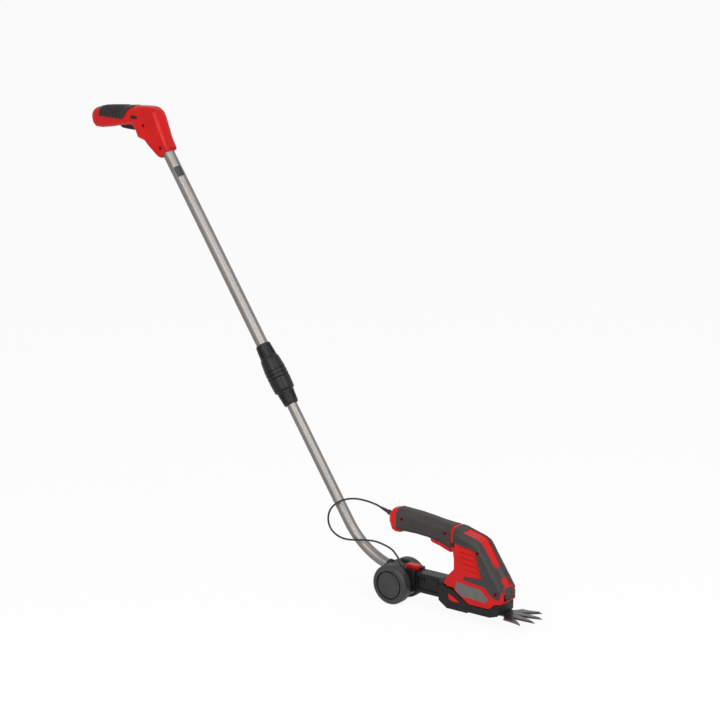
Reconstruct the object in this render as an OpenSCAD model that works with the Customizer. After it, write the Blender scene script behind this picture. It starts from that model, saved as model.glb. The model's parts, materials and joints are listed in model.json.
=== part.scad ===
/* [Wheels] */
// Outside diameter of a road wheel
wheel_d = 70; // [62:1:78]
// Width of a road wheel
wheel_w = 19.5; // [16:0.5:24]
// Diameter of the wheel axle
axle_d = 6; // [5:0.5:8]

/* [Trolley] */
// Width of the trolley hub between the wheels
hub_w = 28.8; // [27:0.2:34]
// Length of the arm from the hub to the shoe
arm_len = 55; // [48:1:75]
// Width of the arm
arm_w = 24; // [22:1:27]
// Height of the arm
arm_h = 35; // [32:1:38]
// Wall of the trolley halves
trolley_wall = 2.4; // [2:0.2:3]
// How far the red release button goes down
release_travel = 3; // [2:0.5:4]

/* [Pole] */
// Outside diameter of the bent lower tube
lower_tube_d = 19; // [17:0.5:20]
// Wall of both tubes
tube_wall = 1; // [0.8:0.1:1.5]
// Gap all round between the two tubes
tube_gap = 0.5; // [0.3:0.1:0.7]
// Angle of the pole above the ground
pole_angle = 56.4; // [55:0.2:58]
// Angle at which the tube comes out of the trolley
socket_angle = 14; // [8:1:20]
// Bend radius of the lower tube on its centre line
bend_r = 150; // [130:5:180]
// Straight length of the lower tube above the bend
lower_tube_len = 600; // [560:5:640]
// Length of the upper tube
upper_tube_len = 504; // [480:2:520]
// Length of tube that the handle covers
handle_cover = 50; // [44:1:60]

/* [Twist lock] */
// Largest diameter of the twist lock
lock_d = 39.5; // [37:0.5:44]
// Length of the turning nut
lock_nut_len = 52; // [46:1:60]
// Length of the fixed half
lock_body_len = 67; // [60:1:75]

/* [Handle] */
// Width of the handle grip
handle_w = 30; // [28:0.5:34]
// Wall of the handle halves
handle_wall = 2.4; // [2:0.2:3]
// Thickness of the soft handle pad
handle_pad_t = 1.2; // [0.8:0.2:1.8]

/* [Shears casing] */
// Width of the grip
grip_w = 34; // [32:0.5:38]
// Height of the grip at its rear
grip_h = 37.5; // [35:0.5:40]
// Length of the grip behind the body
grip_len = 127.5; // [120:0.5:135]
// Height of the grip underside above the sole
grip_z = 113; // [108:1:120]
// Width of the shears body
body_w = 46; // [44:0.5:52]
// Wall of the casing halves
casing_wall = 2.4; // [2:0.2:3]
// Thickness of the soft grip pads
grip_pad_t = 0.9; // [0.6:0.1:1.4]
// Thickness of the soft side pads
side_pad_t = 1.2; // [1:0.1:2]

/* [Drive] */
// Diameter of the motor can
motor_d = 27.5; // [24:0.5:30]
// Length of the motor can
motor_len = 38; // [32:1:42]
// Gear module
gear_module = 0.8; // [0.7:0.05:0.9]
// Teeth on the motor pinion
pinion_teeth = 10; // [10:1:10]
// Teeth on the drive gear
gear_teeth = 40; // [40:1:40]
// Width of the gear teeth
gear_face = 5; // [4:0.5:6]
// Throw of the eccentric pin
crank_throw = 2; // [1.5:0.25:2.5]
// Diameter of the battery cell
battery_d = 18.5; // [16:0.5:20]
// Length of the battery cell
battery_len = 50; // [44:1:51]

/* [Blades] */
// Spacing of the blade teeth
tooth_pitch = 23; // [20:0.5:25]
// Reach of the inner teeth in front of the blade pivot
tooth_reach = 76; // [70:1:84]
// Thickness of each blade
blade_t = 1.5; // [1.2:0.1:1.6]

/* [Cable] */
// Diameter of the link cable
cable_d = 3.4; // [3:0.1:3.8]

/* [Hidden] */
$fn = 48;
small_fn = 16;

// Fits
run_fit = 0.05;
slide_fit = 0.3;
seat_gap = 0.3;
face_gap = 0.1;
side_gap = 0.6;
seam = 0.26;
far = 400;

// Colours
red = [0.80, 0.10, 0.09];
dark_grey = [0.27, 0.26, 0.26];
black = [0.09, 0.09, 0.09];
steel = [0.62, 0.63, 0.64];
silver = [0.80, 0.80, 0.81];

// Axle height, and the wheels' places along the axle
axle_z = wheel_d / 2;
wheel_in_y = hub_w / 2 + side_gap;
wheel_out_y = wheel_in_y + wheel_w;

// Heights below are measured from the axle. The hub's front is just past the wheels.
hub_front = wheel_d / 2 + 7;
hub_rear = -24;
hub_top = 30;
hub_bottom = -17;
rib_t = 5;
arm_top = 27;
arm_bottom = arm_top - arm_h;
shoe_x = hub_front + arm_len;

// The shears stand in the shoe: their own origin is the rear of the sole
shears_x = shoe_x + 16;
sole_z = -17;
shoe_floor_t = 2;

// Pole: the point where the bend ends in the trolley, then the bend, then the straight
socket_x = -22;
socket_z = 23;
lower_r = lower_tube_d / 2;
upper_bore_r = lower_r + tube_gap;
upper_r = upper_bore_r + tube_wall;
bend_c = [socket_x + bend_r * sin(socket_angle), socket_z + bend_r * cos(socket_angle)];
straight_0 = [bend_c[0] - bend_r * sin(pole_angle), bend_c[1] - bend_r * cos(pole_angle)];

// Distances up the straight part of the pole
clamp_s = 232;
nut_gap = 0.4;
collet_wall = 2.2;
upper_tube_s = clamp_s + lock_nut_len + nut_gap + 8;
handle_s = upper_tube_s + upper_tube_len - handle_cover;

function pole_point(s) = [straight_0[0] - s * cos(pole_angle), straight_0[1] + s * sin(pole_angle)];
handle_0 = pole_point(handle_s);

// Casing stations from the shears' origin: x, underside, top, half width, corner radius, and the
// lower corner radius where it differs
back_x = 14.5;
grip_x = back_x - grip_len;
cap_x = grip_x - 12;
grip_top = grip_z + grip_h;
grip_hw = grip_w / 2;
body_hw = body_w / 2;
body_low = 13.5;
nose_x = 110.5;
casing = [
    [cap_x, grip_z + 4, grip_top - 9, grip_hw - 4, 9],
    [grip_x - 8, grip_z - 0.5, grip_top - 2.5, grip_hw - 1.2, 11],
    [grip_x + 3, grip_z - 2, grip_top - 0.3, grip_hw, 13],
    [grip_x + 41, grip_z - 1.5, grip_top - 2, grip_hw, 13],
    [-47, grip_z - 3, grip_top - 4.7, grip_hw, 13],
    [-24, grip_z - 6.5, grip_top - 7.6, grip_hw, 13],
    [-6, grip_z - 12, grip_top - 9.5, grip_hw + 0.5, 12],
    [4, grip_z - 16.5, grip_top - 10.6, grip_hw + 1.5, 11],
    [9.5, grip_z - 21, grip_top - 12, body_hw - 3.5, 10],
    [12.8, grip_z - 29.5, grip_top - 13.2, body_hw - 2, 10, 5],
    [back_x, 33.8, grip_top - 14, body_hw - 0.8, 9, 2],
    [18, 31, grip_top - 15.4, body_hw, 9, 2],
    [29, 23.8, grip_top - 18.7, body_hw, 9, 2],
    [45, body_low, grip_top - 22.8, body_hw, 9, 2],
    [53, body_low, grip_top - 25.2, body_hw, 9, 2],
    [58, body_low, grip_top - 28, body_hw, 9, 2],
    [61.3, body_low, grip_top - 31, body_hw, 9, 2],
    [66, body_low, grip_top - 37.4, body_hw, 9, 2],
    [72, body_low, grip_top - 46.8, body_hw, 9, 2],
    [86, body_low + 0.5, grip_top - 67.5, body_hw, 9, 2],
    [96.4, 23.6, grip_top - 82.8, body_hw, 9, 2],
    [106, 25, grip_top - 97, body_hw - 1, 8, 2],
    [nose_x, 28, grip_top - 104.5, body_hw - 4, 4, 2]
];
heel = [[-8, 42], [-2, 36], [back_x + 1, 35], [back_x + 1, 69], [9, 61.5], [2, 54.5], [-3, 47.5]];

// Casing insides
motor_x = 51.4;
plate_z = 56;
plate_t = 3;
centre_gap = 0.35;
gear_x = motor_x + gear_module * (gear_teeth + pinion_teeth) / 2 + centre_gap;
gear_z = plate_z - gear_face - 2.5;
motor_z = plate_z + plate_t;
gear_shaft_r = 5;
crank_r = 2.5;
pivot_x = gear_x + 20;
battery_x = grip_x + 19.5;
battery_z = grip_z + grip_h / 2;
board_x = -40;
board_z = grip_z + 22;
board_size = [26, 22, 1.6];
switch_x = -30;
switch_z = grip_z - 0.5;
switch_size = [20, 6.4, 10];
trigger_hw = 6.5;
trigger_pivot = [-1, grip_z - 11.5];
trigger_pin_r = 1.5;
trigger_pin_hw = trigger_hw + 4;
spring_wire = 0.9;
trigger_spring = [-38, grip_z - 2.8, 4.6, 10];
lock_r = 4;
lock_at = [10.5, grip_z - 2];
lock_travel = 2.5;
casing_screw_at = [[grip_x + 15, grip_z + 21], [-8, grip_z + 13.5], [62, grip_top - 44], [98.2, 42.5]];
boss_wall = 2.2;
screw_r = 1.5;
screw_head_r = 2.8;
rib_at = [grip_x + 15.5, -58, -37, -25, 42, 60];
rib_w = 2;

// Base and blades
base_hw = body_hw;
tongue_hw = 16.2;
tongue_x = 2;
base_x = 42.6;
floor_t = 4.6;
lower_blade_z = floor_t;
upper_blade_z = lower_blade_z + blade_t + face_gap;
pocket_z = upper_blade_z + blade_t + 0.6;
blade_pin_r = 3;
blade_hw = 15.5;
tail_hw = 12;
base_front = 104.5;

// Handle stations, from the middle of the neck rim: x, underside, top, half width, corner radius
handle_hw = handle_w / 2;
handle = [
    [-182.5, 54, 63, handle_hw - 7, 4.5],
    [-181, 48.5, 67.5, handle_hw - 4.5, 8, 7],
    [-177.5, 42.5, 71.5, handle_hw - 2.5, 10, 7],
    [-171, 38.2, 75, handle_hw - 1, 12, 7],
    [-157, 37.8, 77, handle_hw - 0.5, 12, 8],
    [-136, 40, 78.6, handle_hw, 12, 8],
    [-117, 43.6, 79.6, handle_hw, 12, 8],
    [-83, 46.5, 81, handle_hw, 12, 8],
    [-75, 44, 81.5, handle_hw + 0.5, 11, 8],
    [-67, 35, 82, handle_hw + 1, 10, 8],
    [-61, 23.5, 82.3, handle_hw + 1.5, 9, 8],
    [-46, 19.5, 82.5, handle_hw + 1.5, 9, 7],
    [-36, 10.5, 82, handle_hw + 1.5, 9, 6],
    [-28, 4, 80.5, handle_hw + 1.5, 10, 6],
    [-21, -1.5, 76, handle_hw + 1.5, 11, 6],
    [-16.5, -5, 69, handle_hw + 1.5, 12, 6],
    [-12, -8.5, 59, handle_hw + 1, 13, 6],
    [-7.5, -9.5, 48.5, handle_hw + 0.5, 13, 6],
    [-3, -5.5, 37, handle_hw, 13, 6],
    [3, 1.5, 22.5, handle_hw - 0.5, 9, 4],
    [8, 4, 12.5, handle_hw - 1.5, 4, 3],
    [11, 5.5, 8, handle_hw - 5, 1.2, 1.2]
];
handle_pivot = [-115, 50];
handle_trigger_hw = 5.5;
handle_lock_at = [-69, 61];
handle_lock_size = [16, 5];
handle_switch_at = [-113, 60];
handle_spring = [-88.5, 54.3, 4.2, 11];
handle_screw_at = [[-46, 47]];
handle_cross_s = 10;
cross_head_y = upper_r + 0.2;
handle_rib_at = [-141, -104, -58];

// Release button on the hub
release_x = [18, hub_front - 0.5];
release_hw = 7;
release_top = hub_top + release_travel + 2.5;
release_skirt = 7;
release_spring_len = 4 * release_travel;
release_mid = (release_x[0] + release_x[1]) / 2;
release_seat = hub_top - trolley_wall - release_skirt - release_spring_len;
trolley_screw_at = [[-12, -9], [hub_front - 6, -2], [hub_front + 10, 10], [shoe_x - 4, 10]];

// Cable route, from the gland on the hub round the tube to the plug, above the ground
plug_r = 4.5;
plug_len = 25;
plug_pin_r = 2.7;
plug_pin_len = 9;
plug_tilt = atan2(7, 24);
plug_face = [cap_x - 5, grip_z + 21];
plug_back = [shears_x + plug_face[0] - plug_len * cos(plug_tilt), 0,
    axle_z + sole_z + plug_face[1] + plug_len * sin(plug_tilt)];
gland_at = [13, -9, axle_z + 29];
gland_dir = [-3, 0, 4];
gland_len = 15;
gland_end = gland_at + gland_len * gland_dir / norm(gland_dir);
cable_route = concat([gland_end, gland_end + gland_dir], [
    [-10, -10, 91], [-26, -13, 98], [-45, -15, 101], [-66, -16, 99],
    [-87, -16, 95], [-109, -16, 93], [-127, -16, 97], [-140, -16, 107], [-145, -16, 121],
    [-142, -16, 137], [-131, -16, 151], [-112, -14, 163], [-91, -10, 168], [-72, -5, 167]
], [plug_back + [-12, 0, 3.5], plug_back]);

// Moves a part from axle height to its place above the ground
module lift() translate([0, 0, axle_z]) children();

// Moves a part to the shears' own origin
module on_shears() translate([shears_x, 0, axle_z + sole_z]) children();

// Moves a part to the pole, so that z runs up the pole axis
module on_pole(s) {
    p = pole_point(s);
    translate([p[0], 0, axle_z + p[1]]) rotate([0, pole_angle - 90, 0]) children();
}

// Moves a part to the middle of the handle's neck rim
module on_handle() translate([handle_0[0], 0, axle_z + handle_0[1]]) children();

// Draws a side view between two places across the object
module slab(y_low, y_high)
    translate([0, y_high, 0]) rotate([90, 0, 0]) linear_extrude(y_high - y_low) children();

// A pin across the object
module cross_pin(at, r, y_low, y_high)
    translate([at[0], y_low, at[1]]) rotate([-90, 0, 0]) cylinder(r = r, h = y_high - y_low);

module box(low, high) translate(low) cube(high - low);

// Keeps one side of the object: 1 is the left (+Y), -1 the right
module one_side(side)
    intersection() {
        children();
        box([-far * 2, side > 0 ? 0 : -far, -far], [far * 2, side > 0 ? far : 0, far]);
    }

// Rounded cross-section of a casing, grown by g
module section(st, g) {
    r = min(st[4] + g, st[3] + g, (st[2] - st[1]) / 2 + g);
    low_r = len(st) > 5 ? max(st[5] + g, 0.4) : r;
    sides = g < 0 ? 12 : 24;
    translate([st[0], 0, 0]) rotate([90, 0, 90]) linear_extrude(seam) hull()
        for (sy = [-1, 1]) {
            translate([sy * (st[3] + g - low_r), st[1] - g + low_r])
                circle(r = low_r, $fn = low_r < 4 ? 12 : sides);
            translate([sy * (st[3] + g - r), st[2] + g - r]) circle(r = r, $fn = sides);
        }
}

// Skin through a list of sections
module skin(stations, g)
    for (i = [0 : len(stations) - 2])
        hull() {
            section(stations[i], g);
            translate([-seam, 0, 0]) section(stations[i + 1], g);
        }

// Points along a smooth curve through a list of points
function curve(a, b, c, d, t) =
    0.5 * (2 * b + (c - a) * t + (2 * a - 5 * b + 4 * c - d) * t * t
    + (3 * b - a - 3 * c + d) * t * t * t);
function smooth(p, steps) = concat(
    [for (i = [0 : len(p) - 2], k = [0 : steps - 1])
        curve(p[max(i - 1, 0)], p[i], p[i + 1], p[min(i + 2, len(p) - 1)], k / steps)],
    [p[len(p) - 1]]);
function unit(v) = v / norm(v);

// One tube along a path, with rings kept level to the direction up
module tube_along(path, r, sides, up) {
    n = len(path);
    points = [for (i = [0 : n - 1])
        let (t = unit(path[min(i + 1, n - 1)] - path[max(i - 1, 0)]),
             u = unit(cross(up, t)), v = cross(t, u))
        for (k = [0 : sides - 1]) path[i] + r * (cos(360 * k / sides) * u + sin(360 * k / sides) * v)];
    walls = [for (i = [0 : n - 2], k = [0 : sides - 1], half = [0, 1])
        let (a = i * sides + k, b = i * sides + (k + 1) % sides)
        half == 0 ? [a, b + sides, b] : [a, a + sides, b + sides]];
    ends = [for (k = [1 : sides - 2], e = [0, 1])
        e == 0 ? [0, k, k + 1] : [(n - 1) * sides, (n - 1) * sides + k + 1, (n - 1) * sides + k]];
    polyhedron(points = points, faces = concat(walls, ends));
}

// Upright coil spring with a height h
module coil(r, wire_r, h, turns)
    tube_along([for (i = [0 : turns * 8]) [r * cos(45 * i), r * sin(45 * i),
        wire_r + (h - 2 * wire_r) * i / (turns * 8)]], wire_r, 6, [0, 0, 1]);

// A self-tapping screw across the object: its head is sunk from the right
module cross_screw(at, y_head, y_end) {
    cross_pin(at, screw_head_r, y_head, y_head + 2.2);
    cross_pin(at, screw_r, y_head + 2, y_end);
}

// Outline of a gear with straight-sided teeth; a tooth points along x when turn is 0
function gear_outline(m, teeth, turn) = [for (i = [0 : teeth - 1], p = [0 : 3])
    let (tip = m * (teeth / 2 + 0.85), root = m * (teeth / 2 - 1.15),
         r = p == 0 || p == 3 ? root : tip,
         half = (p == 0 || p == 3 ? 0.78 : 0.32) * m,
         a = turn + 360 * i / teeth + (p < 2 ? -1 : 1) * asin(half / r))
    [r * cos(a), r * sin(a)]];

// Puts the bend's centre at the origin, with the straight part starting on the x axis
module in_bend() translate([bend_c[0], 0, axle_z + bend_c[1]]) rotate([90, 0, 0])
    rotate([0, 0, 270 - pole_angle]) children();

// Solid rod along the bend and up the straight, moved out by off from the centre line
module bent_rod(r, off, len) {
    rotate_extrude(angle = pole_angle, $fn = 96) translate([bend_r + off, 0]) circle(r = r);
    translate([bend_r + off, 0, 0]) rotate([90, 0, 0]) cylinder(r = r, h = len);
}

module lower_tube() color(silver) in_bend() {
    difference() {
        rotate_extrude(angle = pole_angle, $fn = 96) translate([bend_r, 0]) circle(r = lower_r);
        rotate_extrude(angle = pole_angle, $fn = 96) translate([bend_r, 0]) circle(r = lower_r - tube_wall);
    }
    translate([bend_r, 0, 0]) rotate([90, 0, 0]) difference() {
        cylinder(r = lower_r, h = lower_tube_len);
        translate([0, 0, -1]) cylinder(r = lower_r - tube_wall, h = lower_tube_len + 2);
    }
}

module upper_tube() color(silver) difference() {
    on_pole(upper_tube_s) difference() {
        cylinder(r = upper_r, h = upper_tube_len);
        translate([0, 0, -1]) cylinder(r = upper_bore_r, h = upper_tube_len + 2);
    }
    on_pole(handle_s + handle_cross_s) rotate([90, 0, 0])
        cylinder(r = screw_r + run_fit, h = 4 * upper_r, center = true);
}

// Turned outline from a list of radius and height pairs, with a bore
module turned(outline) rotate_extrude($fn = 72) polygon(outline);

lock_r_max = lock_d / 2;
collet_r = lower_r + run_fit + collet_wall;
nut_bore_r = collet_r + slide_fit;

module clamp_nut() color(black) on_pole(clamp_s) difference() {
    turned([[lower_r + slide_fit, 0], [upper_r + 1, 0], [upper_r + 2.2, 1.2], [upper_r + 4.6, 26],
        [lock_r_max - 1.8, 27.5], [lock_r_max - 1, 29], [lock_r_max, lock_nut_len - 2],
        [lock_r_max - 0.8, lock_nut_len], [nut_bore_r, lock_nut_len], [nut_bore_r, 5], [lower_r + slide_fit, 5]]);
    for (a = [0 : 30 : 330]) rotate([0, 0, a]) translate([upper_r + 2, -1.2, 5]) cube([10, 2.4, 17]);
}

module clamp_body() color(black) on_pole(clamp_s + lock_nut_len + nut_gap) difference() {
    turned([[nut_bore_r, 0], [lock_r_max - 0.6, 0], [lock_r_max, 0.8], [lock_r_max, 5], [lock_r_max - 1.2, 5.8],
        [lock_r_max - 1.2, 7], [lock_r_max, 7.8], [lock_r_max, 12], [lock_r_max - 1.2, 12.8],
        [lock_r_max - 1.2, 14], [lock_r_max, 14.8], [lock_r_max - 2.4, 38], [lock_r_max - 3.4, 39.5],
        [upper_r + 4.6, 41], [upper_r + 2.6, lock_body_len - 1.2], [upper_r + 1.4, lock_body_len],
        [upper_r + run_fit, lock_body_len], [upper_r + run_fit, 8], [nut_bore_r, 8]]);
    for (a = [0 : 30 : 330]) rotate([0, 0, a]) translate([upper_r + 2, -1.2, 44])
        cube([10, 2.4, lock_body_len - 48]);
}

module clamp_collet() color(dark_grey) on_pole(clamp_s + 5 + face_gap) difference() {
    cylinder(r = collet_r, h = upper_tube_s - clamp_s - 5 - face_gap);
    translate([0, 0, -1]) cylinder(r = lower_r + run_fit, h = far);
    for (a = [0, 60, 120]) rotate([0, 0, a]) translate([0, 0, 14])
        cube([4 * collet_r, 1.2, 40], center = true);
}

// Wires from the handle switch, lying along the outside of the bend
lead_r = 2.5;
module pole_lead() color(black) in_bend()
    bent_rod(lead_r, lower_r - tube_wall - lead_r - seat_gap, lower_tube_len);

// The two handle halves meet on the middle plane
module handle_half(side) color(red) {
    $fn = small_fn;
    difference() {
        union() {
            difference() {
                on_handle() one_side(side) skin(handle, 0);
                on_handle() skin(handle, -handle_wall);
            }
            on_handle() one_side(side) intersection() {
                skin(handle, -handle_wall + 0.1);
                union() {
                    for (x = handle_rib_at) box([x, -far, 0], [x + rib_w, far, far]);
                    for (at = handle_screw_at) cross_pin(at, screw_r + boss_wall, -far, far);
                    box([handle_pivot[0] - 4, -far, 46], [handle_pivot[0] + 4, far, handle_pivot[1] + 4]);
                    box([handle_spring[0] - 6, -far, handle_spring[1] + handle_spring[3] + face_gap],
                        [handle_spring[0] + 6, far, handle_spring[1] + handle_spring[3] + 2.5]);
                }
            }
            one_side(side) intersection() {
                on_handle() skin(handle, -handle_wall + 0.1);
                on_pole(handle_s - 20) cylinder(r = upper_r + 2.4, h = handle_cover + 24);
            }
        }
        handle_guts();
    }
}

// Room for what the handle holds
module handle_guts() {
    on_pole(handle_s - 60) cylinder(r = upper_r + 0.1, h = handle_cover + 60 + seat_gap, $fn = 48);
    on_pole(handle_s + handle_cross_s) rotate([90, 0, 0]) cylinder(r = screw_r + 0.1, h = far, center = true);
    on_pole(handle_s + handle_cross_s) rotate([90, 0, 0]) translate([0, 0, cross_head_y - 0.1])
        cylinder(r = screw_head_r + 0.4, h = far);
    on_handle() {
        box([handle_pivot[0] - 7, -handle_trigger_hw - slide_fit, 30],
            [handle_trigger_end + 2.5, handle_trigger_hw + slide_fit, handle_pivot[1] + 10]);
        cross_pin(handle_pivot, trigger_pin_r + run_fit, -handle_hw + handle_wall, handle_hw - handle_wall);
        translate([handle_switch_at[0], 0, handle_switch_at[1]]) switch_room();
        slab(-far, -3) lock_outline(slide_fit);
        for (at = handle_screw_at) {
            cross_pin(at, screw_r + 0.1, -far, handle_hw - handle_wall - 1);
            cross_pin(at, screw_head_r + 0.4, -far, -handle_hw + 6.4);
        }
    }
}

module switch_room()
    box([-0.3, -switch_size[1] / 2 - 0.3, -0.3], switch_size + [0.3, 0.3 - switch_size[1] / 2, 0.3]);

// Side view of the handle's lock button, with round ends
module lock_outline(g) translate(handle_lock_at) {
    len = handle_lock_size[0] - handle_lock_size[1];
    square([len, handle_lock_size[1] + 2 * g], center = true);
    for (x = [-1, 1]) translate([x * len / 2, 0]) circle(r = handle_lock_size[1] / 2 + g);
}

module handle_left() handle_half(1);
module handle_right() handle_half(-1);

// Soft saddle over the rear of the grip, with slanting ribs
pad_edge = [[-160, 90], [-158, 59.5], [-100, 56.5], [-94, 61], [-86, 73], [-73, 82], [-73, 90]];
pad_run = [for (i = [2 : 8]) handle[i]];
pad_ribs = 7;
pad_rib_pitch = 7.6;
module handle_pad() color(black) on_handle() difference() {
    intersection() {
        union() {
            skin(pad_run, handle_pad_t);
            intersection() {
                skin(pad_run, handle_pad_t + 0.8);
                slab(-far, far) for (i = [0 : pad_ribs - 1]) {
                    x = -158 + pad_rib_pitch * i;
                    polygon([[x, 58.5 - i / 3], [x + 3.2, 58.5 - i / 3], [x + 15, 90], [x + 11.8, 90]]);
                }
            }
        }
        slab(-far, far) polygon(pad_edge);
    }
    skin(handle, 0.05);
}

handle_trigger_end = -78;
module handle_trigger() color(black) on_handle() difference() {
    union() {
        slab(-handle_trigger_hw, handle_trigger_hw) polygon([[-119, 46], [-108, 39.5], [-94, 38],
            [handle_trigger_end - 1, 37], [handle_trigger_end, 47], [handle_trigger_end, 54],
            [-97, 54], [-98, 56], [-103, 56], [-104, 54], [-119, 54]]);
        cross_pin(handle_pivot, 4.5, -handle_trigger_hw, handle_trigger_hw);
    }
    cross_pin(handle_pivot, trigger_pin_r + run_fit, -far, far);
}

module handle_trigger_pin() color(steel) on_handle()
    cross_pin(handle_pivot, trigger_pin_r, -handle_hw + handle_wall + 0.2, handle_hw - handle_wall - 0.2);

module handle_trigger_spring() color(steel) on_handle()
    translate([handle_spring[0], 0, handle_spring[1]])
        coil(handle_spring[2] / 2 + 0.4, spring_wire / 2, handle_spring[3], 6);

module handle_lock() color(dark_grey) on_handle() {
    in_y = handle_wall - handle_hw + slide_fit;
    slab(-handle_hw - 2.8, -5) lock_outline(0);
    slab(in_y, in_y + 1.6) lock_outline(1.4);
}

module micro_switch() {
    difference() {
        box([0, -switch_size[1] / 2, 0], switch_size - [0, switch_size[1] / 2, 0]);
        for (x = [4, switch_size[0] - 4]) cross_pin([x, 3], 1.2, -far, far);
    }
    box([switch_size[0] - 9, -1.5, -1.2], [switch_size[0] - 6, 1.5, 0]);
}

module handle_switch() color(dark_grey) on_handle()
    translate([handle_switch_at[0], 0, handle_switch_at[1]]) micro_switch();

module handle_screws() color(steel) {
    on_handle() for (at = handle_screw_at) cross_screw(at, -handle_hw + 4, handle_hw - handle_wall - 2);
    on_pole(handle_s + handle_cross_s) rotate([-90, 0, 0]) translate([0, 0, -cross_head_y - 2.2]) {
        cylinder(r = screw_head_r, h = 2.2);
        cylinder(r = screw_r, h = 2 * handle_hw - 6);
    }
}

// Half section of a wheel: radius across, and the distance out from its inner face up
wheel_web = 14;
cap_seat_r = axle_d / 2 + 15.4;
module wheel_outline() {
    rim_r = wheel_d / 2;
    difference() {
        union() {
            translate([rim_r - 9.5, 0]) square([9.5, wheel_w]);
            translate([axle_d / 2 + run_fit, 0]) square([5, wheel_web + 1]);
            translate([axle_d / 2 + run_fit, wheel_web - 3]) square([rim_r - 8, 3]);
            translate([cap_seat_r, wheel_web - 1]) square([4.4, wheel_w - wheel_web + 0.3]);
        }
        translate([rim_r - 6, wheel_w - 6]) difference() {
            square(7);
            circle(r = 6);
        }
        translate([rim_r - 2, 2]) mirror([0, 1]) difference() {
            square(3);
            circle(r = 2);
        }
    }
}

module wheel(side) color(dark_grey) lift() mirror([0, side > 0 ? 0 : 1, 0])
    translate([0, wheel_in_y, 0]) rotate([-90, 0, 0]) rotate_extrude($fn = 120) wheel_outline();

module wheel_left() wheel(1);
module wheel_right() wheel(-1);

// Domed cap in the middle of each wheel, over the axle end
module wheel_cap(side) color(black) lift() mirror([0, side > 0 ? 0 : 1, 0])
    translate([0, wheel_in_y + wheel_w, 0]) rotate([-90, 0, 0]) rotate_extrude($fn = 96) {
        cap_r = cap_seat_r - face_gap;
        intersection() {
            translate([0, -2.4]) square([cap_r, 2.4]);
            translate([0, -160]) circle(r = 160, $fn = 400);
        }
        difference() {
            translate([0, wheel_web - wheel_w]) square([cap_r, wheel_w - wheel_web - 2.3]);
            translate([-1, -10]) square([cap_r - 1, 10]);
        }
    }

module wheel_cap_left() wheel_cap(1);
module wheel_cap_right() wheel_cap(-1);

clip_t = 0.8;
clip_y = wheel_in_y + wheel_web + 1 + face_gap;
axle_end = clip_y + clip_t + 0.8;
module axle() color(steel) lift() cross_pin([0, 0], axle_d / 2, -axle_end, axle_end);

module axle_clips() color(steel) lift() for (side = [-1, 1]) difference() {
    cross_pin([0, 0], axle_d / 2 + 2.5, side * clip_y - (side < 0 ? clip_t : 0),
        side * clip_y + (side > 0 ? clip_t : 0));
    cross_pin([0, 0], axle_d / 2 + run_fit, -far, far);
}

// Side view of the hub, from the axle
hub_outline = [[hub_rear, -10], [hub_rear + 9, hub_bottom], [hub_front - 14, hub_bottom],
    [hub_front - rib_t, arm_bottom], [hub_front, arm_bottom], [hub_front, hub_top], [-4, hub_top],
    [hub_rear + 8, hub_top + 2], [hub_rear, hub_top - 2]];

// Side view of the shoe that holds the shears, from the shears' origin
shoe_rim = [[-16, arm_top - sole_z], [-9.2, 41.6], [-2.6, 35.2], [12.6, 33.3], [base_x - 0.6, 14.3]];
shoe_outline = concat([[-16, arm_bottom - sole_z], [-1, -1]],
    [[1, -shoe_floor_t], [base_x - 0.6, -shoe_floor_t]],
    [for (i = [len(shoe_rim) - 1 : -1 : 0]) shoe_rim[i]]);

wedge = [[4, 25], [5, 15.5], [13, 12.5], [27, 13], [19, 17.5], [11, 22.5]];
wedge_mid = [13, 17];
wedge_travel = 2;
cheek_in = body_hw - 3;

// Wedge button outline grown by g from its middle
module wedge_outline(g) {
    k = 1 + g / 6;
    polygon([for (p = wedge) wedge_mid + k * (p - wedge_mid)]);
}

// The two trolley halves meet on the middle plane
module trolley_half(side) color(black) intersection() {
    difference() {
        union() {
            lift() {
                slab(-hub_w / 2, hub_w / 2) polygon(hub_outline);
                box([hub_front - rib_t, -hub_w / 2 - 1.6, arm_bottom], [hub_front, hub_w / 2 + 1.6, hub_top]);
                box([hub_front - 1, -arm_w / 2, arm_bottom], [shoe_x + 1, arm_w / 2, arm_top]);
            }
            on_shears() slab(-body_hw, body_hw) polygon(shoe_outline);
            lift() translate([socket_x, 0, socket_z]) rotate([0, socket_angle - 90, 0])
                translate([0, 0, -4]) cylinder(r = lower_r + 2.4, h = 6);
        }
        trolley_rooms();
    }
    lift() box([-far, side > 0 ? 0 : -far, -far], [far, side > 0 ? far : 0, far]);
}

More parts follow.
